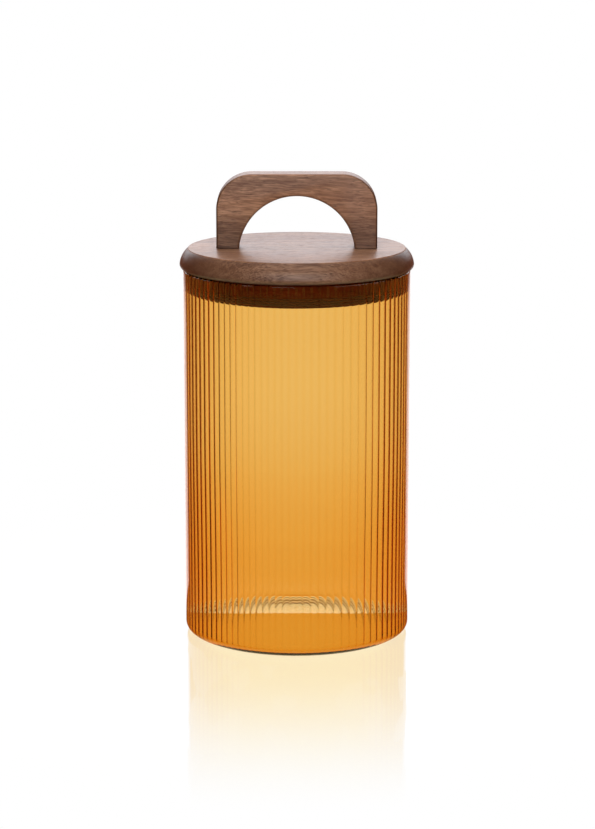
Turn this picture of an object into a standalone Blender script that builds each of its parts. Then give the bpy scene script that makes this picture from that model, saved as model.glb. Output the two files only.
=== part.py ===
"""Fluted amber glass storage jar with a wooden lid and an arched wooden handle.

Metres, +Z up. The jar stands on the XY plane with its axis on Z, and the handle runs along X.
"""

import math

import bmesh
import bpy

MM = 0.001
GAP = 0.3 * MM                      # clearance left between neighbouring solids

# Glass body: a plain outer wall, scalloped on the inside
GLASS_RADIUS = 50.0 * MM
GLASS_HEIGHT = 163.5 * MM
FLUTES = 90
MOUTH_RIDGE_RADIUS = 47.9 * MM      # crest between two flutes in the upper part of the bore
FOOT_RIDGE_RADIUS = 46.9 * MM       # the wall grows thicker towards the foot
TAPER_TOP = 100.0 * MM
TAPER_BOTTOM = 20.0 * MM
FLUTE_DEPTH = 0.3 * MM
HEEL_RADIUS = 3.6 * MM              # outer corner at the foot
HEEL_STEPS = 4
FLOOR_THICKNESS = 1.8 * MM
FLOOR_FILLET = 2.0 * MM
FILLET_STEPS = 3
FOOT_INNER_RADIUS = 44.0 * MM       # the jar stands on a narrow flat ring outside this radius
PUNT_RISE = 0.4 * MM                # the underside is slightly hollow inside the ring
PUNT_MIDDLE = 0.6                   # where the hollow's slope changes, as a share of its radius
PUNT_MIDDLE_RISE = 0.78             # and how much of its rise is left there
RIM_STEPS = 4

# Lid board: a disc with a leaning, rounded side that overhangs the glass
BOARD_TOP_RADIUS = 47.9 * MM
BOARD_MAX_RADIUS = 51.6 * MM
BOARD_UNDERSIDE_RADIUS = 49.7 * MM
BOARD_BOTTOM = GLASS_HEIGHT + GAP
BOARD_TOP = 173.0 * MM
BOARD_MAX_HEIGHT = 165.9 * MM       # height of the widest point of the side
BOARD_SIDE_BULGE = 0.45 * MM        # how far the side arches out of its chord
BOARD_CORNER_BULGE = 0.55 * MM      # the same for the corner under the widest point
BOARD_EDGE_ROUND = 0.35 * MM

# Lid plug: the disc under the board that enters the mouth, grooved for the seal
PLUG_RADIUS = 46.0 * MM
PLUG_TOP = BOARD_BOTTOM - GAP
PLUG_BOTTOM = 153.0 * MM
PLUG_CHAMFER = 0.6 * MM
LIP_RADIUS = 45.2 * MM              # wood below the groove
GROOVE_RADIUS = 43.6 * MM
GROOVE_BOTTOM = 153.9 * MM
GROOVE_TOP = 157.2 * MM

# Seal ring: a soft band in the groove with fins that wipe the glass
SEAL_BAND_RADIUS = 45.5 * MM
SEAL_FIN_RADIUS = MOUTH_RIDGE_RADIUS - GAP
SEAL_FINS = 3
FIN_THICKNESS = 0.5 * MM
FIN_TIP_SHARE = 0.8                 # height of a fin's tip as a share of its thickness
FIN_LIFT = 0.25 * MM                # the fin tips point a little upward out of the mouth

# Handle: a flat arch standing on the board
HANDLE_WIDTH = 70.5 * MM
HANDLE_THICKNESS = 13.0 * MM
HANDLE_HEIGHT = 32.8 * MM           # above the board's top
HANDLE_CORNER_RADIUS = 15.5 * MM
HANDLE_EDGE_ROUND = 1.2 * MM
ARCH_RADIUS = 25.4 * MM
ARCH_CENTRE_DROP = 2.3 * MM         # the arch's centre lies this far below the board's top
HANDLE_BOTTOM = BOARD_TOP + GAP

# Handle screws: countersunk wood screws driven up through the board into the legs
SCREW_X = 30.0 * MM
SCREW_SHANK_RADIUS = 1.75 * MM
SCREW_HEAD_RADIUS = 3.4 * MM
SCREW_HEAD_RIM = 0.4 * MM
SCREW_HEAD_BOTTOM = BOARD_BOTTOM + 0.3 * MM
SCREW_LENGTH = 25.0 * MM
SCREW_POINT = 3.5 * MM
SCREW_TIP_RADIUS = 0.3 * MM
HOLE_OVERRUN = 1.2 * MM             # how far a hole's cutter reaches out below the head
RECESS_ARM = 1.7 * MM               # half the span of the cross recess
RECESS_SLOT = 0.45 * MM             # half the width of one slot
RECESS_DEPTH = 1.5 * MM
RECESS_TAPER = 0.55                 # size of the recess at its far end

TURN_STEPS = 72                     # facets round a turned wooden piece
SCREW_STEPS = 20
HOLE_STEPS = 16
TOUCHING = 0.001 * MM               # distances below this count as equal


def clear_scene():
    for item in list(bpy.data.objects):
        bpy.data.objects.remove(item, do_unlink=True)


def make_material(name, colour, roughness, metallic=0.0, transmission=0.0):
    material = bpy.data.materials.new(name)
    material.use_nodes = True
    shader = material.node_tree.nodes["Principled BSDF"]
    shader.inputs["Base Color"].default_value = (*colour, 1.0)
    shader.inputs["Roughness"].default_value = roughness
    shader.inputs["Metallic"].default_value = metallic
    shader.inputs["Transmission Weight"].default_value = transmission
    material.diffuse_color = (*colour, 1.0)
    return material


def add_object(name, bm, material=None, sharp_angle=35.0):
    bmesh.ops.recalc_face_normals(bm, faces=bm.faces)
    mesh = bpy.data.meshes.new(name)
    bm.to_mesh(mesh)
    bm.free()
    if material:
        mesh.materials.append(material)
    mesh.shade_smooth()
    mesh.set_sharp_from_angle(angle=math.radians(sharp_angle))
    obj = bpy.data.objects.new(name, mesh)
    bpy.context.collection.objects.link(obj)
    return obj


def corner_arc(centre, radius, start_deg, end_deg, steps):
    """Points on a circle in the (radius, height) plane, both ends included."""
    points = []
    for i in range(steps + 1):
        angle = math.radians(start_deg + (end_deg - start_deg) * i / steps)
        points.append((centre[0] + radius * math.cos(angle), centre[1] + radius * math.sin(angle)))
    return points


def bulged_line(start, end, bulge, steps):
    """Points on the arc from start to end that swells by bulge to the right of the way."""
    chord = math.dist(start, end)
    radius = chord * chord / (8.0 * bulge) + bulge / 2.0
    half_angle = math.asin(chord / (2.0 * radius))
    along = ((end[0] - start[0]) / chord, (end[1] - start[1]) / chord)
    right = (along[1], -along[0])
    middle = ((start[0] + end[0]) / 2.0, (start[1] + end[1]) / 2.0)
    points = []
    for i in range(steps + 1):
        angle = half_angle * (2.0 * i / steps - 1.0)
        forward = radius * math.sin(angle)
        outward = radius * math.cos(angle) - (radius - bulge)
        points.append((middle[0] + along[0] * forward + right[0] * outward,
                       middle[1] + along[1] * forward + right[1] * outward))
    return points


def turn_profile(profile, steps, closed=False):
    """Spin a (radius, height) outline about Z into a bmesh."""
    bm = bmesh.new()
    verts = [bm.verts.new((r, 0.0, z)) for r, z in profile]
    edges = [bm.edges.new(pair) for pair in zip(verts, verts[1:])]
    if closed:
        edges.append(bm.edges.new((verts[-1], verts[0])))
    bmesh.ops.spin(bm, geom=verts + edges, cent=(0, 0, 0), axis=(0, 0, 1), angle=math.tau,
                   steps=steps, use_merge=True)
    bmesh.ops.remove_doubles(bm, verts=bm.verts, dist=TOUCHING)
    return bm


def cut(obj, cutter):
    """Subtract cutter from obj with a live Boolean and keep the cutter out of the model."""
    cutter.hide_render = True
    cutter.display_type = "WIRE"
    boolean = obj.modifiers.new("cut_" + cutter.name, "BOOLEAN")
    boolean.operation = "DIFFERENCE"
    boolean.solver = "EXACT"
    boolean.object = cutter


# ---------------------------------------------------------------- glass body

def glass_profile():
    mouth_valley = MOUTH_RIDGE_RADIUS + FLUTE_DEPTH
    foot_valley = FOOT_RIDGE_RADIUS + FLUTE_DEPTH
    rim_round = (GLASS_RADIUS - mouth_valley) / 2.0
    fillet_centre = (foot_valley - FLOOR_FILLET, FLOOR_THICKNESS + FLOOR_FILLET)
    points = [(0.0, PUNT_RISE), (FOOT_INNER_RADIUS * PUNT_MIDDLE, PUNT_RISE * PUNT_MIDDLE_RISE)]
    points += [(FOOT_INNER_RADIUS, 0.0)]
    points += corner_arc((GLASS_RADIUS - HEEL_RADIUS, HEEL_RADIUS), HEEL_RADIUS, -90, 0, HEEL_STEPS)
    points += corner_arc((GLASS_RADIUS - rim_round, GLASS_HEIGHT - rim_round), rim_round,
                         0, 180, RIM_STEPS)
    points += [(mouth_valley, TAPER_TOP), (foot_valley, TAPER_BOTTOM)]
    points += corner_arc(fillet_centre, FLOOR_FILLET, 0, -90, FILLET_STEPS)
    points += [(0.0, FLOOR_THICKNESS)]
    return points


def build_glass_body(material):
    steps = 2 * FLUTES
    bm = turn_profile(glass_profile(), steps)
    mouth_valley = MOUTH_RIDGE_RADIUS + FLUTE_DEPTH
    foot_valley = FOOT_RIDGE_RADIUS + FLUTE_DEPTH
    wall_foot = FLOOR_THICKNESS + FLOOR_FILLET
    for vert in bm.verts:
        radius = math.hypot(vert.co.x, vert.co.y)
        column = round(math.atan2(vert.co.y, vert.co.x) / math.tau * steps)
        on_upper_bore = abs(radius - mouth_valley) < TOUCHING and vert.co.z > TAPER_BOTTOM
        on_lower_bore = abs(radius - foot_valley) < TOUCHING and vert.co.z > wall_foot - TOUCHING
        if (on_upper_bore or on_lower_bore) and column % 2 == 0:
            vert.co.x *= (radius - FLUTE_DEPTH) / radius
            vert.co.y *= (radius - FLUTE_DEPTH) / radius
    return add_object("glass_body", bm, material)


# ---------------------------------------------------------------- lid

def board_profile():
    shoulder = (BOARD_TOP_RADIUS, BOARD_TOP - BOARD_EDGE_ROUND)
    widest = (BOARD_MAX_RADIUS, BOARD_MAX_HEIGHT)
    side = bulged_line(widest, shoulder, BOARD_SIDE_BULGE, 5)
    underside = (BOARD_UNDERSIDE_RADIUS, BOARD_BOTTOM)
    lower_corner = bulged_line(underside, widest, BOARD_CORNER_BULGE, 4)
    points = [(0.0, BOARD_BOTTOM)] + lower_corner + side[1:]
    points += [(BOARD_TOP_RADIUS - BOARD_EDGE_ROUND, BOARD_TOP), (0.0, BOARD_TOP)]
    return points


def screw_profile(extra, overrun):
    """Outline of one handle screw, head down; extra and overrun grow it into its hole."""
    head_slope = SCREW_HEAD_RADIUS - SCREW_SHANK_RADIUS
    head_rim_top = SCREW_HEAD_BOTTOM + SCREW_HEAD_RIM
    shank_end = SCREW_HEAD_BOTTOM + SCREW_LENGTH - SCREW_POINT
    start = SCREW_HEAD_BOTTOM - overrun
    return [
        (0.0, start),
        (SCREW_HEAD_RADIUS + extra, start),
        (SCREW_HEAD_RADIUS + extra, head_rim_top),
        (SCREW_SHANK_RADIUS + extra, head_rim_top + head_slope),
        (SCREW_SHANK_RADIUS + extra, shank_end),
        (SCREW_TIP_RADIUS + extra, shank_end + SCREW_POINT + extra),
        (0.0, shank_end + SCREW_POINT + extra),
    ]


def build_screw_hole(name, x):
    bm = turn_profile(screw_profile(GAP, HOLE_OVERRUN), HOLE_STEPS)
    hole = add_object(name, bm)
    hole.location.x = x
    return hole


def build_recess_cutter(name, x):
    """Cross recess in the head's flat face, tapering as it goes in."""
    a, s = RECESS_ARM, RECESS_SLOT
    outline = [(a, -s), (a, s), (s, s), (s, a), (-s, a), (-s, s),
               (-a, s), (-a, -s), (-s, -s), (-s, -a), (s, -a), (s, -s)]
    bm = bmesh.new()
    face = bm.faces.new([bm.verts.new((px, py, 0.0)) for px, py in outline])
    top = bmesh.ops.extrude_face_region(bm, geom=[face])["geom"]
    top_verts = [g for g in top if isinstance(g, bmesh.types.BMVert)]
    for vert in top_verts:
        vert.co.x *= RECESS_TAPER
        vert.co.y *= RECESS_TAPER
        vert.co.z = RECESS_DEPTH * 2.0
    cutter = add_object(name, bm)
    cutter.location = (x, 0.0, SCREW_HEAD_BOTTOM - RECESS_DEPTH)
    return cutter


def build_board(material, holes):
    board = add_object("lid_board", turn_profile(board_profile(), TURN_STEPS), material)
    for hole in holes:
        cut(board, hole)
    return board


def build_plug(material):
    profile = [
        (0.0, PLUG_TOP),
        (PLUG_RADIUS, PLUG_TOP),
        (PLUG_RADIUS, GROOVE_TOP),
        (GROOVE_RADIUS, GROOVE_TOP),
        (GROOVE_RADIUS, GROOVE_BOTTOM),
        (LIP_RADIUS, GROOVE_BOTTOM),
        (LIP_RADIUS, PLUG_BOTTOM + PLUG_CHAMFER),
        (LIP_RADIUS - PLUG_CHAMFER, PLUG_BOTTOM),
        (0.0, PLUG_BOTTOM),
    ]
    return add_object("lid_plug", turn_profile(profile, TURN_STEPS), material)


def build_seal(material):
    low = GROOVE_BOTTOM + GAP
    high = GROOVE_TOP - GAP
    pitch = (high - low - FIN_THICKNESS) / (SEAL_FINS - 1)
    points = [(GROOVE_RADIUS + GAP, high), (GROOVE_RADIUS + GAP, low)]
    for i in range(SEAL_FINS):
        base = low + i * pitch
        points += [
            (SEAL_BAND_RADIUS, base),
            (SEAL_FIN_RADIUS, base + FIN_LIFT),
            (SEAL_FIN_RADIUS, base + FIN_THICKNESS * FIN_TIP_SHARE),
            (SEAL_BAND_RADIUS, base + FIN_THICKNESS),
        ]
    bm = turn_profile(points, TURN_STEPS, closed=True)
    return add_object("seal_ring", bm, material)


def handle_outline():
    """Front outline of the handle from its left foot over the top to the right foot and back."""
    half = HANDLE_WIDTH / 2.0
    top = BOARD_TOP + HANDLE_HEIGHT
    corner = HANDLE_CORNER_RADIUS
    arch_centre = BOARD_TOP - ARCH_CENTRE_DROP
    foot_angle = math.degrees(math.asin((HANDLE_BOTTOM - arch_centre) / ARCH_RADIUS))
    points = [(-half, HANDLE_BOTTOM)]
    points += corner_arc((-half + corner, top - corner), corner, 180, 90, 8)
    points += corner_arc((half - corner, top - corner), corner, 90, 0, 8)
    points += [(half, HANDLE_BOTTOM)]
    points += corner_arc((0.0, arch_centre), ARCH_RADIUS, foot_angle, 180 - foot_angle, 24)
    return points


def build_handle(material, holes):
    bm = bmesh.new()
    front_y = -HANDLE_THICKNESS / 2.0
    front = bm.faces.new([bm.verts.new((x, front_y, z)) for x, z in handle_outline()])
    back = bmesh.ops.extrude_face_region(bm, geom=[front])["geom"]
    back_verts = [g for g in back if isinstance(g, bmesh.types.BMVert)]
    bmesh.ops.translate(bm, verts=back_verts, vec=(0.0, HANDLE_THICKNESS, 0.0))
    long_edges = []
    for edge in bm.edges:
        a, b = (vert.co for vert in edge.verts)
        across = abs(a.y - b.y) > TOUCHING
        under_foot = max(a.z, b.z) < HANDLE_BOTTOM + TOUCHING
        if not across and not under_foot:
            long_edges.append(edge)
    bmesh.ops.bevel(bm, geom=long_edges, offset=HANDLE_EDGE_ROUND, segments=2, profile=0.5,
                    affect="EDGES", material=-1)
    handle = add_object("handle", bm, material)
    for hole in holes:
        cut(handle, hole)
    return handle


def build_screw(name, x, material):
    screw = add_object(name, turn_profile(screw_profile(0.0, 0.0), SCREW_STEPS), material)
    screw.location.x = x
    cut(screw, build_recess_cutter("recess_" + name, x))
    return screw


def main():
    clear_scene()
    amber = make_material("amber_glass", (0.80, 0.36, 0.05), 0.03, transmission=1.0)
    walnut = make_material("walnut", (0.22, 0.12, 0.075), 0.55)
    dark_wood = make_material("walnut_plug", (0.16, 0.08, 0.045), 0.6)
    rubber = make_material("seal_silicone", (0.10, 0.055, 0.035), 0.5)
    steel = make_material("screw_steel", (0.62, 0.60, 0.56), 0.35, metallic=1.0)

    sides = {"left": -SCREW_X, "right": SCREW_X}
    holes = [build_screw_hole("hole_" + side, x) for side, x in sides.items()]
    build_glass_body(amber)
    build_board(walnut, holes)
    build_plug(dark_wood)
    build_seal(rubber)
    build_handle(walnut, holes)
    for side, x in sides.items():
        build_screw("handle_screw_" + side, x, steel)


main()
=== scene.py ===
import math
import bmesh
import bpy
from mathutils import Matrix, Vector


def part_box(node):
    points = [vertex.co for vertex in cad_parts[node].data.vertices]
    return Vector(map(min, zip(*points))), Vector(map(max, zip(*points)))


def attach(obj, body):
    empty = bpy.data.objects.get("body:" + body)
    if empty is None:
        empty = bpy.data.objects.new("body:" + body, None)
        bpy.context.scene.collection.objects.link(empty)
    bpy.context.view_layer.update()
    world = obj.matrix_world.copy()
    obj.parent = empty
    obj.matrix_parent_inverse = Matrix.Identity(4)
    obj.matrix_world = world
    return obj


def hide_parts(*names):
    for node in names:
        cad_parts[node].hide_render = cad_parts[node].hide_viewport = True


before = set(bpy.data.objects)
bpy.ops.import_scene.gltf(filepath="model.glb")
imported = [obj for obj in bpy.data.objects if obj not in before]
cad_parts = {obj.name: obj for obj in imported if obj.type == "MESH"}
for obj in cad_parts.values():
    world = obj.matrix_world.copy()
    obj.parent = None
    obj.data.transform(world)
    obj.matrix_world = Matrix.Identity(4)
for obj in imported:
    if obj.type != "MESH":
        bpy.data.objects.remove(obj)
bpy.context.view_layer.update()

glassLow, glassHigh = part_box("glass_body")
boardLow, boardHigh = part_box("lid_board")
plugLow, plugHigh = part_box("lid_plug")
sealLow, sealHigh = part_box("seal_ring")
handleLow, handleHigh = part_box("handle")
millimetre = 0.001
print("frame loaded:", len(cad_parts), "nodes")


# node building: one wrapped socket, so that shader maths reads as Python

class Wire:
    def __init__(self, book, socket):
        self.book = book
        self.socket = socket

    def maths(self, operation, other=0.0):
        return self.book.add("ShaderNodeMath", {"operation": operation}, {0: self, 1: other})

    def swapped(self, operation, other):
        return self.book.add("ShaderNodeMath", {"operation": operation}, {0: other, 1: self})

    def __add__(self, other):
        return self.maths("ADD", other)

    def __sub__(self, other):
        return self.maths("SUBTRACT", other)

    def __mul__(self, other):
        return self.maths("MULTIPLY", other)

    def __truediv__(self, other):
        return self.maths("DIVIDE", other)

    def __pow__(self, other):
        return self.maths("POWER", other)

    def __rsub__(self, other):
        return self.swapped("SUBTRACT", other)

    def __rtruediv__(self, other):
        return self.swapped("DIVIDE", other)

    __radd__ = __add__
    __rmul__ = __mul__

    def ramp(self, low, high, smooth=True):   # 0 at low, 1 at high, held outside
        kind = "SMOOTHSTEP" if smooth else "LINEAR"
        settings = {"interpolation_type": kind, "clamp": True}
        sockets = {"Value": self, "From Min": low, "From Max": high}
        return self.book.add("ShaderNodeMapRange", settings, sockets)

    def output(self, name):
        return Wire(self.book, self.socket.node.outputs[name])


class NodeBook:
    def __init__(self, tree):
        self.tree = tree
        tree.nodes.clear()

    def add(self, kind, settings=None, sockets=None):
        node = self.tree.nodes.new(kind)
        for key, value in (settings or {}).items():
            setattr(node, key, value)
        for key, value in (sockets or {}).items():
            self.feed(node.inputs[key], value)
        shown = [socket for socket in node.outputs if socket.enabled]
        return Wire(self, shown[0]) if shown else None

    def feed(self, socket, value):
        if isinstance(value, Wire):
            self.tree.links.new(value.socket, socket)
        elif isinstance(value, (tuple, list)) and len(value) == 3 and socket.type == "RGBA":
            socket.default_value = (*value, 1.0)
        else:
            socket.default_value = value

    def mixColour(self, factor, first, second, blend="MIX"):
        settings = {"data_type": "RGBA", "blend_type": blend, "clamp_factor": True}
        return self.add("ShaderNodeMix", settings, {0: factor, 6: first, 7: second})

    def place(self, location=(0, 0, 0), rotation=(0, 0, 0), scale=(1, 1, 1)):
        point = self.add("ShaderNodeTexCoord").output("Object")
        sockets = {"Vector": point, "Location": location, "Rotation": rotation, "Scale": scale}
        return self.add("ShaderNodeMapping", {"vector_type": "TEXTURE"}, sockets)


def newMaterial(name):
    material = bpy.data.materials.new(name)
    material.use_nodes = True
    return material, NodeBook(material.node_tree)


def finishSurface(book, surface, volume=None):
    sockets = {"Surface": surface}
    if volume:
        sockets["Volume"] = volume
    book.add("ShaderNodeOutputMaterial", {}, sockets)


# mesh building

def arc(centre, radius, startDegrees, endDegrees, steps):
    points = []
    for i in range(steps + 1):
        angle = math.radians(startDegrees + (endDegrees - startDegrees) * i / steps)
        points.append((centre[0] + radius * math.cos(angle), centre[1] + radius * math.sin(angle)))
    return points


def swell(start, end, bulge, steps):   # an arc from start to end, arching out to the right of the way
    chord = math.dist(start, end)
    radius = chord * chord / (8 * bulge) + bulge / 2
    halfAngle = math.asin(chord / (2 * radius))
    along = Vector((end[0] - start[0], end[1] - start[1])) / chord
    right = Vector((along.y, -along.x))
    middle = Vector(((start[0] + end[0]) / 2, (start[1] + end[1]) / 2))
    points = []
    for i in range(steps + 1):
        angle = halfAngle * (2 * i / steps - 1)
        point = middle + along * radius * math.sin(angle) + right * (radius * math.cos(angle) - radius + bulge)
        points.append((point.x, point.y))
    return points


def spinProfile(profile, steps, closed=False):
    bm = bmesh.new()
    verts = [bm.verts.new((radius, 0, height)) for radius, height in profile]
    edges = [bm.edges.new(pair) for pair in zip(verts, verts[1:])]
    if closed:
        edges.append(bm.edges.new((verts[-1], verts[0])))
    bmesh.ops.spin(bm, geom=verts + edges, cent=(0, 0, 0), axis=(0, 0, 1), angle=math.tau,
                   steps=steps, use_merge=True)
    bmesh.ops.remove_doubles(bm, verts=bm.verts, dist=1e-7)
    return bm


def makePiece(name, bm, material, body, node, sharpDegrees=30):
    bmesh.ops.recalc_face_normals(bm, faces=bm.faces)
    mesh = bpy.data.meshes.new(name)
    bm.to_mesh(mesh)
    bm.free()
    mesh.materials.append(material)
    mesh.shade_smooth()
    mesh.set_sharp_from_angle(angle=math.radians(sharpDegrees))
    piece = bpy.data.objects.new(name, mesh)
    bpy.context.collection.objects.link(piece)
    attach(piece, body)
    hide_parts(node)
    return piece


# amber glass

glassBody = {
    "flutes": 90,
    "stepsPerFlute": 14,
    "firstFlute": 0.0,
    "unevenness": 2.6,                    # degrees of slow drift in the flutes' places
    "mouthRidgeRadius": 47.9 * millimetre,
    "footRidgeRadius": 46.9 * millimetre,
    "taperTop": 100 * millimetre,
    "taperBottom": 20 * millimetre,
    "fluteDepth": 0.3 * millimetre,
    "heelRadius": 3.6 * millimetre,
    "floorTop": 1.8 * millimetre,
    "floorFillet": 2.0 * millimetre,
    "floorSteps": (44.2, 40.4, 36.2),     # radii in millimetres where the floor thins a little inwards
    "floorStepWidth": 1.3,
    "floorStepDrop": 0.11,
    "footInnerRadius": 44.0 * millimetre,
    "puntRise": 0.4 * millimetre,
    "refraction": 1.5,
    "absorbed": (18.0, 176.0, 540.0),      # absorption per metre of glass, red green blue
}


def amberGlass():
    material, book = newMaterial("amber_glass")
    point = book.place()
    ripple = book.add("ShaderNodeTexNoise", {}, {"Vector": point, "Scale": 60, "Detail": 2, "Roughness": 0.4})
    wave = book.add("ShaderNodeBump", {}, {"Strength": 0.02, "Distance": 0.001, "Height": ripple})
    haze = ripple.ramp(0.35, 0.8) * 0.013 + 0.002
    glass = book.add("ShaderNodeBsdfPrincipled", {}, {
        "Base Color": (1, 1, 1),
        "Roughness": haze,
        "IOR": glassBody["refraction"],
        "Transmission Weight": 1.0,
        "Normal": wave,
    })
    density = max(glassBody["absorbed"]) * 1.05
    tint = tuple(1 - share / density for share in glassBody["absorbed"])
    depth = book.add("ShaderNodeVolumeAbsorption", {}, {"Color": tint, "Density": density})
    finishSurface(book, glass, depth)
    return material


def fluteShape(turnShare):   # 0 mid-flute, rising as a parabola to 1 on the crest
    crest = abs(turnShare % 1 - 0.5) * 2
    return crest * crest


def ridgeRadiusAt(height):
    g = glassBody
    share = (height - g["taperBottom"]) / (g["taperTop"] - g["taperBottom"])
    share = min(1, max(0, share))
    share = share * share * (3 - 2 * share)
    return g["footRidgeRadius"] + share * (g["mouthRidgeRadius"] - g["footRidgeRadius"])


def buildGlass(material):
    g = glassBody
    outer = glassHigh.x
    top = glassHigh.z
    depth = g["fluteDepth"]
    rimRound = (outer - g["mouthRidgeRadius"] - depth) / 2
    floor = g["floorTop"]
    fillet = g["floorFillet"]
    foot = g["footRidgeRadius"]
    wallFoot = floor + fillet
    profile = []
    for share in (0, 0.2, 0.4, 0.6, 0.8, 0.9, 0.97, 1):
        profile.append((g["footInnerRadius"] * share, g["puntRise"] * (1 - share ** 3)))
    profile += arc((outer - g["heelRadius"], g["heelRadius"]), g["heelRadius"], -90, 0, 10)
    profile += arc((outer - rimRound, top - rimRound), rimRound, 0, 180, 12)
    wallTop = top - rimRound
    levels = 24
    for i in range(1, levels + 1):
        height = wallTop + (wallFoot - wallTop) * i / levels
        profile.append((ridgeRadiusAt(height) + depth, height))
    profile += arc((foot + depth - fillet, wallFoot), fillet, 0, -90, 10)[1:]
    level = floor
    profile.append((foot + depth - fillet - 0.15 * millimetre, level))
    for radius in g["floorSteps"]:
        for share in (1.1, 1, 0.75, 0.5, 0.25, 0, -0.1):
            eased = min(1, max(0, share))
            drop = (1 - eased * eased * (3 - 2 * eased)) * g["floorStepDrop"]
            reach = radius + (share - 0.5) * g["floorStepWidth"]
            profile.append((reach * millimetre, level - drop * millimetre))
        level -= g["floorStepDrop"] * millimetre
    profile += [(24 * millimetre, level), (8 * millimetre, level), (0, level)]
    bm = spinProfile(profile, g["flutes"] * g["stepsPerFlute"])
    for vert in bm.verts:
        radius = math.hypot(vert.co.x, vert.co.y)
        if vert.co.z > floor + 1e-6 and radius < ridgeRadiusAt(vert.co.z) + depth + 1e-6:
            angle = math.atan2(vert.co.y, vert.co.x)
            drift = math.radians(g["unevenness"]) * math.cos(3 * (angle + math.pi / 2) - math.radians(24))
            turns = (angle + drift) / math.tau * g["flutes"] + g["firstFlute"]
            rooted = min(1, (vert.co.z - floor) / fillet)     # the flutes run out into the floor
            wanted = radius - depth * fluteShape(turns) * rooted ** 0.5
            vert.co.x *= wanted / radius
            vert.co.y *= wanted / radius
    return makePiece("fluted_glass", bm, material, "jar", "glass_body")


# wood

wood = {
    "dark": (0.085, 0.036, 0.018),
    "middle": (0.240, 0.118, 0.062),
    "light": (0.450, 0.245, 0.140),
    "roughness": 0.34,
    "waviness": 14,                       # how often the grain bends
    "broadGrain": (7, 60),                # how fine each layer of grain is, along and across
    "streakGrain": (22, 560),
    "fibreGrain": (110, 2300),
    "poreGrain": (260, 3200),
    "ringTurns": 1500,
    "boardShift": (0.31, 0.12, 0.07),
    "handleShift": (1.43, 0.55, 0.31),
    "plugShift": (2.27, 0.91, 0.83),
    # the plug's darker, redder wood, and painted shade for the shadow under the board and the amber glass's
    # tint on its light
    "plugToneAndPaintedShade": (0.38, 0.12, 0.08),
    "plugShine": 0.1,
    "sidePaintedShade": 0.64,                    # painted shade: the board's turned side is darker than its top
    "endPaintedShade": 0.42,                     # painted shade, darker still towards the board's left and right ends
    "handleEdgePaintedShade": 0.22,              # painted shade along the handle's outer sides and over its top corners
    "edgeShadeWidth": 0.9 * millimetre,
    "edgeShadeInset": 0.25 * millimetre,
    "handleFootPaintedShade": 0.48,              # painted shade: the handle is darker towards its feet, near the board
    "footLow": 178 * millimetre,
    "footHigh": 194 * millimetre,
}


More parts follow.
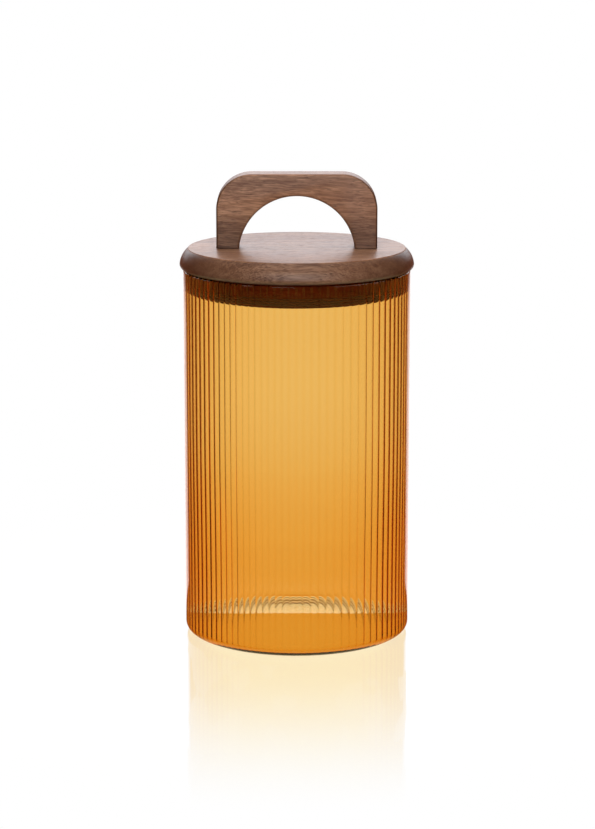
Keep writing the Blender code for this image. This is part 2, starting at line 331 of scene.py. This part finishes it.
def walnut(name, shift, shade=(1.0, 1.0, 1.0), footPaintedShade=1.0, edgePaintedShade=1.0, sidePaintedShade=1.0,
           endPaintedShade=0.0, specular=0.5):
    material, book = newMaterial(name)
    point = book.place(location=shift, rotation=(0, math.radians(1.5), math.radians(3)))
    bend = book.add("ShaderNodeTexNoise", {}, {
        "Vector": point, "Scale": wood["waviness"], "Detail": 3, "Roughness": 0.5})
    split = book.add("ShaderNodeSeparateXYZ", {}, {"Vector": point})
    along = split.output("X")
    across = split.output("Y") + (bend - 0.5) * 0.012
    deep = split.output("Z") + (bend - 0.5) * 0.008

    def stretched(lengthways, crossways):
        return book.add("ShaderNodeCombineXYZ", {}, {
            "X": along * lengthways, "Y": across * crossways, "Z": deep * crossways})

    def noise(lengthways, crossways, detail, rough):
        sockets = {"Vector": stretched(lengthways, crossways), "Scale": 1, "Detail": detail, "Roughness": rough}
        return book.add("ShaderNodeTexNoise", {}, sockets)

    broad = noise(*wood["broadGrain"], 3, 0.5)
    streak = noise(*wood["streakGrain"], 3, 0.55)
    fibre = noise(*wood["fibreGrain"], 2, 0.6)
    pore = noise(*wood["poreGrain"], 1, 0.5).ramp(0.58, 0.70)
    ring = book.add("ShaderNodeMath", {"operation": "SINE"}, {
        0: (deep + across * 0.55 + (broad - 0.5) * 0.010) * wood["ringTurns"]})
    tone = broad.ramp(0.3, 0.7) * 0.20 + streak.ramp(0.25, 0.75) * 0.24
    tone = tone + fibre.ramp(0.25, 0.75) * 0.48 + (ring * 0.5 + 0.5) * 0.08
    body = book.mixColour(tone.ramp(0.15, 0.55, False), wood["dark"], wood["middle"])
    body = book.mixColour(tone.ramp(0.5, 0.95, False), body, wood["light"])
    reddish = book.mixColour(bend.ramp(0.35, 0.75) * 0.35, body, (0.26, 0.105, 0.055))
    pored = book.mixColour(pore * 0.55, reddish, tuple(part * 0.45 for part in wood["dark"]))
    spot = book.add("ShaderNodeSeparateXYZ", {}, {"Vector": book.place()})
    height = spot.output("Z")
    reach = (spot.output("X") ** 2 + spot.output("Y") ** 2) ** 0.5
    # painted shade on the board's side, darker towards its left and right ends
    side = reach.ramp(board["topRadius"] - 0.0002, board["topRadius"] + 0.0004)
    turned = (spot.output("X") / reach) ** 2
    paintedShade = 1 - side * (1 - sidePaintedShade + endPaintedShade * turned)
    # painted shade: darker towards the handle's feet
    foot = 1 - (1 - footPaintedShade) * (1 - height.ramp(wood["footLow"], wood["footHigh"]))
    # painted shade: darker along the handle's outer sides, fading over its top corners
    corner = handle["cornerRadius"]
    outwards = (spot.output("X").maths("ABSOLUTE") - (handleHigh.x - corner)).maths("MAXIMUM", 0)
    upwards = (height - (handleHigh.z - corner)).maths("MAXIMUM", 0)
    cornerReach = (outwards ** 2 + upwards ** 2 + 1e-9) ** 0.5
    atSide = cornerReach.ramp(corner - wood["edgeShadeWidth"], corner - wood["edgeShadeInset"])
    paintedShade = paintedShade * (1 - (1 - edgePaintedShade) * atSide * (outwards / cornerReach))
    # shade darkens the plug: its darker wood, and painted shade
    shaded = book.mixColour(1.0, pored, shade, "MULTIPLY")
    colour = book.mixColour(1.0, shaded, foot * paintedShade, "MULTIPLY")
    relief = fibre * 0.5 + streak * 0.35 - pore * 0.9
    grainBump = book.add("ShaderNodeBump", {}, {"Strength": 0.22, "Distance": 0.00012, "Height": relief})
    surface = book.add("ShaderNodeBsdfPrincipled", {}, {
        "Base Color": colour,
        "Roughness": wood["roughness"] + (fibre - 0.5) * 0.2 + pore * 0.2,
        "Specular IOR Level": specular,
        "Normal": grainBump,
    })
    finishSurface(book, surface)
    return material


board = {
    "topRadius": 47.9 * millimetre,
    "undersideRadius": 49.7 * millimetre,
    "widestHeight": 165.9 * millimetre,
    "sideBulge": 0.8 * millimetre,
    "cornerBulge": 0.55 * millimetre,
    "edgeRound": 0.35 * millimetre,
}
screw = {
    "x": 30.0 * millimetre,
    "shank": 1.75 * millimetre,
    "core": 1.25 * millimetre,
    "head": 3.4 * millimetre,
    "rim": 0.4 * millimetre,
    "length": 25.0 * millimetre,
    "point": 3.5 * millimetre,
    "plainShank": 6.0 * millimetre,
    "threadPitch": 1.3 * millimetre,
    "clearance": 0.25 * millimetre,
    "recessArm": 1.7 * millimetre,
    "recessSlot": 0.42 * millimetre,
    "recessDepth": 1.5 * millimetre,
    "recessTaper": 0.55,
    "tip": 0.2 * millimetre,
}
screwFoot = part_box("handle_screw_left")[0].z


def temporary(bm):
    bmesh.ops.recalc_face_normals(bm, faces=bm.faces)
    mesh = bpy.data.meshes.new("cutter")
    bm.to_mesh(mesh)
    bm.free()
    cutter = bpy.data.objects.new("cutter", mesh)
    bpy.context.collection.objects.link(cutter)
    return cutter


def carve(bm, cutters):   # subtracts each cutter from bm and gives the result as a new bmesh
    target = temporary(bm)
    for cutter in cutters:
        boolean = target.modifiers.new("carve", "BOOLEAN")
        boolean.operation = "DIFFERENCE"
        boolean.solver = "EXACT"
        boolean.object = cutter
    bpy.context.view_layer.update()
    evaluated = target.evaluated_get(bpy.context.evaluated_depsgraph_get())
    carved = bmesh.new()
    carved.from_mesh(evaluated.to_mesh())
    evaluated.to_mesh_clear()
    for item in [target] + cutters:
        mesh = item.data
        bpy.data.objects.remove(item)
        bpy.data.meshes.remove(mesh)
    return carved


def screwHoles():
    gap = screw["clearance"]
    slope = screw["head"] - screw["shank"]
    start = screwFoot - 1.5 * millimetre
    rimTop = screwFoot + screw["rim"]
    end = screwFoot + screw["length"]
    profile = [(0, start), (screw["head"] + gap, start), (screw["head"] + gap, rimTop),
               (screw["shank"] + gap, rimTop + slope), (screw["shank"] + gap, end - screw["point"]),
               (gap, end + gap), (0, end + gap)]
    holes = []
    for x in (-screw["x"], screw["x"]):
        bm = spinProfile(profile, 48)
        bmesh.ops.translate(bm, verts=bm.verts, vec=(x, 0, 0))
        holes.append(temporary(bm))
    return holes


def buildBoard(material):
    low = boardLow.z
    top = boardHigh.z
    widest = (boardHigh.x, board["widestHeight"])
    edge = board["edgeRound"]
    profile = [(0, low)]
    profile += swell((board["undersideRadius"], low), widest, board["cornerBulge"], 10)
    profile += swell(widest, (board["topRadius"], top - edge), board["sideBulge"], 14)[1:]
    profile += arc((board["topRadius"] - edge, top - edge), edge, 0, 90, 5)[1:]
    profile += [(0, top)]
    bm = carve(spinProfile(profile, 256), screwHoles())
    return makePiece("board", bm, material, "lid", "lid_board")


plug = {
    "radius": 46.0 * millimetre,
    "lipRadius": 45.2 * millimetre,
    "grooveRadius": 43.6 * millimetre,
    "grooveBottom": 153.9 * millimetre,
    "grooveTop": 157.2 * millimetre,
    "edge": 0.6 * millimetre,
}


def buildPlug(material):
    top = plugHigh.z
    low = plugLow.z
    p = plug
    edge = p["edge"]
    profile = [(0, top), (p["radius"] - 0.3 * edge, top), (p["radius"], top - 0.3 * edge),
               (p["radius"], p["grooveTop"]), (p["grooveRadius"], p["grooveTop"]),
               (p["grooveRadius"], p["grooveBottom"]), (p["lipRadius"], p["grooveBottom"])]
    profile += arc((p["lipRadius"] - edge, low + edge), edge, 0, -90, 6)
    profile += [(0, low)]
    return makePiece("plug", spinProfile(profile, 256), material, "lid", "lid_plug")


seal = {
    "bandRadius": 45.5 * millimetre,
    "insideRadius": 43.9 * millimetre,
    "fins": 3,
    "finThickness": 0.5 * millimetre,
    "droop": 0.25 * millimetre,
    "colour": (0.105, 0.024, 0.013),
}


def silicone():
    material, book = newMaterial("seal_silicone")
    point = book.place()
    cloud = book.add("ShaderNodeTexNoise", {}, {"Vector": point, "Scale": 180, "Detail": 3})
    speck = book.add("ShaderNodeTexNoise", {}, {"Vector": point, "Scale": 2500, "Detail": 1})
    tone = book.mixColour(cloud.ramp(0.3, 0.7), tuple(part * 0.8 for part in seal["colour"]), seal["colour"])
    dimple = book.add("ShaderNodeBump", {}, {"Strength": 0.1, "Distance": 0.0001, "Height": speck})
    surface = book.add("ShaderNodeBsdfPrincipled", {}, {
        "Base Color": tone,
        "Roughness": cloud * 0.2 + 0.38,
        "IOR": 1.41,
        "Specular IOR Level": 0.12,
        "Sheen Weight": 0.15,
        "Normal": dimple,
    })
    finishSurface(book, surface)
    return material


def buildSeal(material):
    s = seal
    low = sealLow.z
    high = sealHigh.z
    tip = sealHigh.x
    pitch = (high - low - s["finThickness"]) / (s["fins"] - 1)
    profile = [(s["insideRadius"], high), (s["insideRadius"], low)]
    for i in range(s["fins"]):
        base = low + i * pitch
        thick = s["finThickness"]
        profile.append((s["bandRadius"], base))
        profile.append((tip - 0.4 * thick, base + s["droop"] * 0.8))
        profile += arc((tip - 0.3 * thick, base + s["droop"] + 0.3 * thick), 0.3 * thick, -90, 90, 6)
        profile.append((s["bandRadius"], base + thick))
    bm = spinProfile(profile, 256, closed=True)
    return makePiece("seal", bm, material, "seal", "seal_ring")


handle = {
    "cornerRadius": 15.5 * millimetre,
    "edgeRound": 1.2 * millimetre,
    "archRadius": 25.4 * millimetre,
    "archDrop": 2.3 * millimetre,
}


def buildHandle(material):
    h = handle
    half = handleHigh.x
    bottom = handleLow.z
    top = handleHigh.z
    corner = h["cornerRadius"]
    archHeight = boardHigh.z - h["archDrop"]
    footDegrees = math.degrees(math.asin((bottom - archHeight) / h["archRadius"]))
    outline = [(-half, bottom)]
    outline += arc((-half + corner, top - corner), corner, 180, 90, 32)
    outline += arc((half - corner, top - corner), corner, 90, 0, 32)
    outline += [(half, bottom)]
    outline += arc((0, archHeight), h["archRadius"], footDegrees, 180 - footDegrees, 96)
    bm = bmesh.new()
    front = bm.faces.new([bm.verts.new((x, handleLow.y, z)) for x, z in outline])
    pushed = bmesh.ops.extrude_face_region(bm, geom=[front])["geom"]
    backVerts = [item for item in pushed if isinstance(item, bmesh.types.BMVert)]
    bmesh.ops.translate(bm, verts=backVerts, vec=(0, handleHigh.y - handleLow.y, 0))
    longEdges = []
    for edge in bm.edges:
        a, b = (vert.co for vert in edge.verts)
        level = abs(a.y - b.y) < 1e-6
        if level and max(a.z, b.z) > bottom + 1e-6:
            longEdges.append(edge)
    bmesh.ops.bevel(bm, geom=longEdges, offset=h["edgeRound"], segments=5, profile=0.5,
                    affect="EDGES", material=-1)
    bm = carve(bm, screwHoles())
    return makePiece("arch_handle", bm, material, "lid", "handle")


def zincSteel():
    material, book = newMaterial("zinc_steel")
    point = book.place()
    scuff = book.add("ShaderNodeTexNoise", {}, {"Vector": point, "Scale": 900, "Detail": 4, "Roughness": 0.6})
    crystal = book.add("ShaderNodeTexVoronoi", {}, {"Vector": point, "Scale": 1600})
    tone = book.mixColour(scuff.ramp(0.35, 0.65), (0.46, 0.44, 0.40), (0.66, 0.65, 0.61))
    grit = book.add("ShaderNodeBump", {}, {"Strength": 0.12, "Distance": 0.0001, "Height": crystal})
    surface = book.add("ShaderNodeBsdfPrincipled", {}, {
        "Base Color": tone,
        "Metallic": 1.0,
        "Roughness": scuff * 0.25 + 0.22,
        "Normal": grit,
    })
    finishSurface(book, surface)
    return material


def recessCutter():
    arm = screw["recessArm"]
    slot = screw["recessSlot"]
    outline = [(arm, -slot), (arm, slot), (slot, slot), (slot, arm), (-slot, arm), (-slot, slot),
               (-arm, slot), (-arm, -slot), (-slot, -slot), (-slot, -arm), (slot, -arm), (slot, -slot)]
    bm = bmesh.new()
    face = bm.faces.new([bm.verts.new((x, y, -screw["recessDepth"])) for x, y in outline])
    pushed = bmesh.ops.extrude_face_region(bm, geom=[face])["geom"]
    for item in pushed:
        if isinstance(item, bmesh.types.BMVert):
            item.co.x *= screw["recessTaper"]
            item.co.y *= screw["recessTaper"]
            item.co.z = screw["recessDepth"]
    return temporary(bm)


def buildScrew(name, x, node, material):
    s = screw
    slope = s["head"] - s["shank"]
    headTop = s["rim"] + slope
    cone = s["length"] - s["point"]
    profile = [(0, 0), (s["head"] - 0.1 * millimetre, 0), (s["head"], 0.1 * millimetre), (s["head"], s["rim"]),
               (s["shank"], headTop), (s["shank"], s["plainShank"])]
    turns = int((cone - s["plainShank"]) / s["threadPitch"] * 8)
    for i in range(1, turns + 1):
        profile.append((s["core"], s["plainShank"] + (cone - s["plainShank"]) * i / turns))
    profile += [(s["tip"], s["length"]), (0, s["length"])]
    bm = spinProfile(profile, 64)
    for vert in bm.verts:
        radius = math.hypot(vert.co.x, vert.co.y)
        threaded = s["plainShank"] + 1e-5 < vert.co.z < cone + 1e-5
        if threaded and radius > 0.5 * s["core"]:
            phase = (vert.co.z / s["threadPitch"] - math.atan2(vert.co.y, vert.co.x) / math.tau) % 1
            crest = max(0, 1 - abs(phase - 0.5) * 4)
            fade = min(1, (cone - vert.co.z) / s["threadPitch"] + 0.3)
            wanted = s["core"] + (s["shank"] - s["core"]) * crest * fade
            vert.co.x *= wanted / radius
            vert.co.y *= wanted / radius
    bm = carve(bm, [recessCutter()])
    bmesh.ops.translate(bm, verts=bm.verts, vec=(x, 0, screwFoot))
    return makePiece(name, bm, material, "lid", node, 40)


# stage, light and camera

studio = {
    "cameraPlace": (0.0003, -1.166, 0.344),
    "cameraPitch": 11.93,
    "lens": 116.1,
    "tableEdge": -16.16,                  # degrees below level where the lit table gives way to white
    "sweepGlow": (0.93, 0.98, 0.91),       # the white sweep as the glass passes it on
    "tableGlow": (0.88, 0.70, 0.37),
    "flagShade": 0.88,                     # how dark the sweep falls off to the sides
    "backWidth": 26,                      # degrees either side of the back seen in the glass's own shine
    "softbox": 7.4,
    "softboxWidth": 40,
    "sweepLight": 1.75,                   # the lit sweep behind, which gives the lid its sheen
    "sheen": (1.58, 1.80, 1.95),          # that sweep's colour where polished wood mirrors it
    # where each light starts and is full, in degrees from level, or from straight ahead for sides
    "softboxFade": 40,
    "softboxBottom": (2, 10),
    "softboxTop": (26, 42),
    "sweepSides": (36, 24),
    "sweepBottom": (2, 6),
    "sweepTop": (50, 70),
    "overheadFrom": (55, 75),
    "flagSides": (60, 35),
    "duskSides": (88, 62),
    "duskGapBottom": (-23, -21),
    "duskGapTop": (-13.2, -11.5),
    "backFade": 4,
    "backTop": (-9, -7),
    "mirroredWhiteFrom": (11, 13),
    "litBelow": (-45, -25),
    "overhead": 3.6,
    "fill": 0.05,
    "duskAhead": (0.42, 0.11, 0.025),
    "dusk": (0.30, 0.060, 0.012),         # what the glass mirrors where nothing is lit
    "mirror": (0.10, 0.26, 0.49),         # how much of each colour the table mirrors beside the jar
    "mirrorStart": 60 * millimetre,
    "mirrorEnd": 245 * millimetre,
    # painted light on the hidden disc under the jar: amber light under most of it, and beyond farLine a painted
    # reflection of the lit sweep
    "nearPaintedLight": (0.80, 0.67, 0.26),
    "farPaintedReflection": (1.25, 1.98, 4.5),
    "farLine": 21.6 * millimetre,
    "glowStrength": 8.0,
    "glowRadius": 49 * millimetre,
}


def buildCamera():
    data = bpy.data.cameras.new("studio_camera")
    data.lens = studio["lens"]
    camera = bpy.data.objects.new("studio_camera", data)
    camera.location = studio["cameraPlace"]
    camera.rotation_euler = (math.radians(90 - studio["cameraPitch"]), 0, 0)
    bpy.context.collection.objects.link(camera)
    bpy.context.scene.camera = camera


def sine(degrees):
    return math.sin(math.radians(degrees))


def cosine(degrees):
    return math.cos(math.radians(degrees))


def buildWorld():
    world = bpy.data.worlds.new("studio_world")
    world.use_nodes = True
    book = NodeBook(world.node_tree)
    split = book.add("ShaderNodeSeparateXYZ", {}, {"Vector": book.add("ShaderNodeTexCoord")})
    x = split.output("X")
    y = split.output("Y")
    rise = split.output("Z")
    heading = y / ((x * x + y * y) ** 0.5 + 0.0001)          # 1 towards the back, -1 towards the camera
    rays = book.add("ShaderNodeLightPath")
    camera = rays.output("Is Camera Ray")
    glossy = rays.output("Is Glossy Ray")
    through = rays.output("Is Transmission Ray")

    def upFrom(name):
        start, full = studio[name]
        return rise.ramp(sine(start), sine(full))

    def within(direction, name):
        start, full = studio[name]
        return direction.ramp(cosine(start), cosine(full))

    # what lights the wood: a softbox ahead, a white sweep behind and a light overhead
    width = studio["softboxWidth"]
    front = (-1 * heading).ramp(cosine(width), cosine(width - studio["softboxFade"]))
    boxed = upFrom("softboxBottom") * (1 - upFrom("softboxTop"))
    back = within(heading, "sweepSides") * upFrom("sweepBottom") * (1 - upFrom("sweepTop"))
    lit = front * boxed * studio["softbox"] + back * studio["sweepLight"]
    lit = lit + upFrom("overheadFrom") * studio["overhead"] + studio["fill"]
    # what shows through the glass: white above the table's edge, warmer below it, dusk ahead
    edge = studio["tableEdge"]
    under = 1 - rise.ramp(sine(edge - 0.04), sine(edge + 0.04))
    seen = book.mixColour(under, studio["sweepGlow"], studio["tableGlow"])
    flagged = studio["flagShade"] + (1 - studio["flagShade"]) * within(heading, "flagSides")
    seen = book.mixColour(1.0, seen, flagged, "MULTIPLY")
    gap = upFrom("duskGapBottom") * (1 - upFrom("duskGapTop"))
    behindCamera = within(-1 * heading, "duskSides") * (1 - gap)
    seen = book.mixColour(behindCamera, seen, studio["duskAhead"])
    # what polished surfaces mirror: the white sweep, and white above for the table's mirror
    middle = studio["backWidth"]
    sweep = heading.ramp(cosine(middle + studio["backFade"]), cosine(middle - studio["backFade"]))
    sweep = sweep * rise.ramp(sine(edge - 0.1), sine(edge + 0.1)) * (1 - upFrom("backTop"))
    singular = rays.output("Is Singular Ray")
    raised = upFrom("mirroredWhiteFrom") * singular
    shine = book.mixColour(1 - upFrom("litBelow"), studio["dusk"], studio["tableGlow"])
    shine = book.mixColour(1.0, shine, sweep + raised, "ADD")
    sheen = book.mixColour(back * (1 - singular), (0.0, 0.0, 0.0), studio["sheen"])
    shine = book.mixColour(1.0, shine, sheen, "ADD")

    colour = book.mixColour(through, lit, seen)
    colour = book.mixColour(glossy * (1 - through), colour, shine)
    colour = book.mixColour(camera, colour, (1.0, 1.0, 1.0))
    light = book.add("ShaderNodeBackground", {}, {"Color": colour, "Strength": 1.0})
    book.add("ShaderNodeOutputWorld", {}, {"Surface": light})
    bpy.context.scene.world = world


def placeStage(name, bm, material, height):
    mesh = bpy.data.meshes.new(name)
    bmesh.ops.translate(bm, verts=bm.verts, vec=(0, 0, height))
    bm.to_mesh(mesh)
    bm.free()
    mesh.materials.append(material)
    stage = bpy.data.objects.new(name, mesh)
    bpy.context.collection.objects.link(stage)


def buildTable():
    material, book = newMaterial("white_table")
    split = book.add("ShaderNodeSeparateXYZ", {}, {"Vector": book.place()})
    x = split.output("X")
    y = split.output("Y")
    reach = (x * x + y * y) ** 0.5
    fade = 1 - reach.ramp(studio["mirrorStart"], studio["mirrorEnd"])
    grazing = (book.add("ShaderNodeFresnel", {}, {"IOR": 1.5}) * 6).maths("MINIMUM", 1.0)
    fade = fade * grazing
    mirrored = book.mixColour(fade, (0.0, 0.0, 0.0), studio["mirror"])
    rest = book.mixColour(1.0, (1.0, 1.0, 1.0), mirrored, "SUBTRACT")
    white = book.add("ShaderNodeEmission", {}, {"Color": rest, "Strength": 1.0})
    gloss = book.add("ShaderNodeBsdfGlossy", {}, {"Color": mirrored, "Roughness": 0.0})
    shown = book.add("ShaderNodeAddShader", {}, {0: white, 1: gloss})
    clear = book.add("ShaderNodeBsdfTransparent")
    camera = book.add("ShaderNodeLightPath").output("Is Camera Ray")
    finishSurface(book, book.add("ShaderNodeMixShader", {}, {0: camera, 1: clear, 2: shown}))
    bm = bmesh.new()
    bmesh.ops.create_grid(bm, x_segments=1, y_segments=1, size=6.0)
    placeStage("white_table", bm, material, -0.2 * millimetre)


def buildGlow():   # painted light: a hidden glowing disc under the jar, seen only through the glass, with amber light under the jar and beyond farLine a painted reflection of the lit sweep in the base
    material, book = newMaterial("painted_table_light")
    split = book.add("ShaderNodeSeparateXYZ", {}, {"Vector": book.place()})
    far = split.output("Y").ramp(studio["farLine"] - 0.0002, studio["farLine"] + 0.0002)
    strength = studio["glowStrength"]
    near = tuple(part / strength for part in studio["nearPaintedLight"])
    beyond = tuple(part / strength for part in studio["farPaintedReflection"])
    tone = book.mixColour(far, near, beyond)
    glow = book.add("ShaderNodeEmission", {}, {"Color": tone, "Strength": strength})
    clear = book.add("ShaderNodeBsdfTransparent")
    through = book.add("ShaderNodeLightPath").output("Is Transmission Ray")
    finishSurface(book, book.add("ShaderNodeMixShader", {}, {0: through, 1: clear, 2: glow}))
    bm = bmesh.new()
    bmesh.ops.create_circle(bm, cap_ends=True, segments=128, radius=studio["glowRadius"])
    placeStage("painted_table_light", bm, material, -0.1 * millimetre)


buildCamera()
buildWorld()
buildTable()
buildGlow()
print("stage ready")
buildGlass(amberGlass())
print("glass ready")
buildBoard(walnut("walnut_board", wood["boardShift"], sidePaintedShade=wood["sidePaintedShade"],
                  endPaintedShade=wood["endPaintedShade"]))
buildPlug(walnut("walnut_plug", wood["plugShift"], wood["plugToneAndPaintedShade"], specular=wood["plugShine"]))
buildHandle(walnut("walnut_handle", wood["handleShift"], footPaintedShade=wood["handleFootPaintedShade"],
                   edgePaintedShade=wood["handleEdgePaintedShade"]))
print("wood ready")
buildSeal(silicone())
steel = zincSteel()
buildScrew("screw_left", -screw["x"], "handle_screw_left", steel)
buildScrew("screw_right", screw["x"], "handle_screw_right", steel)
print("seal and screws ready")

bpy.context.scene.view_settings.view_transform = "Standard"
